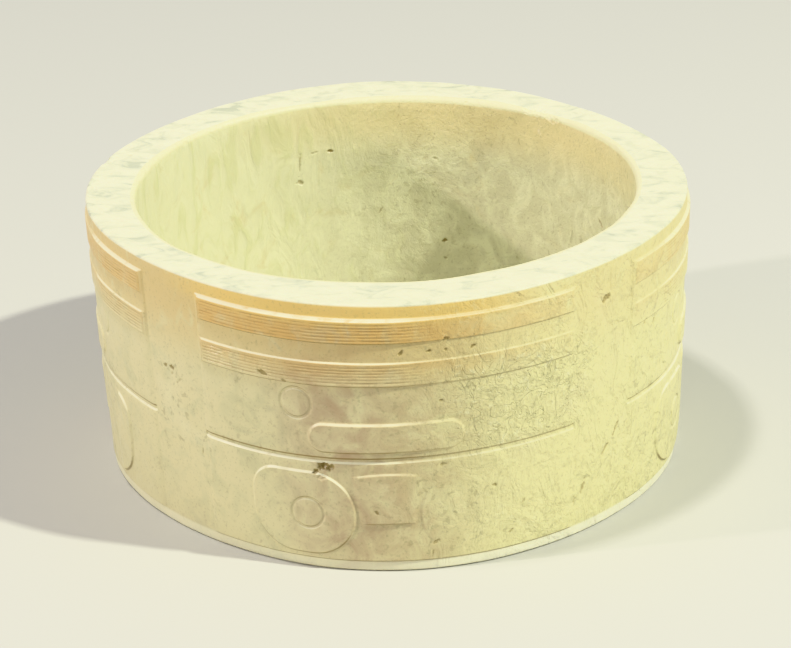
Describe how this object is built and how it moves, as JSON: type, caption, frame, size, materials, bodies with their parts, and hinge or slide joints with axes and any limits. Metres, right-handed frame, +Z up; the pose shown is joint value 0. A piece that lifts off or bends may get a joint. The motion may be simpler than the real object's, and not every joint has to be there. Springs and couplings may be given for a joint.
{
  "type": "jade cong",
  "caption": "Low wide jade ring with a cylindrical bore and four shallow panels, each carved with two face motifs under raised bands.",
  "frame": {"origin": "middle of the underside, on the surface that the ring stands on", "axes": "+Z up along the ring's axis, -Y out through the middle of one carved panel, +X to the right of that panel"},
  "size_m": [0.0972, 0.099, 0.0452],
  "materials": {
    "jade": "soft polish"
  },
  "bodies": {
    "root": {"cong": "jade"}
  },
  "joints": []
}
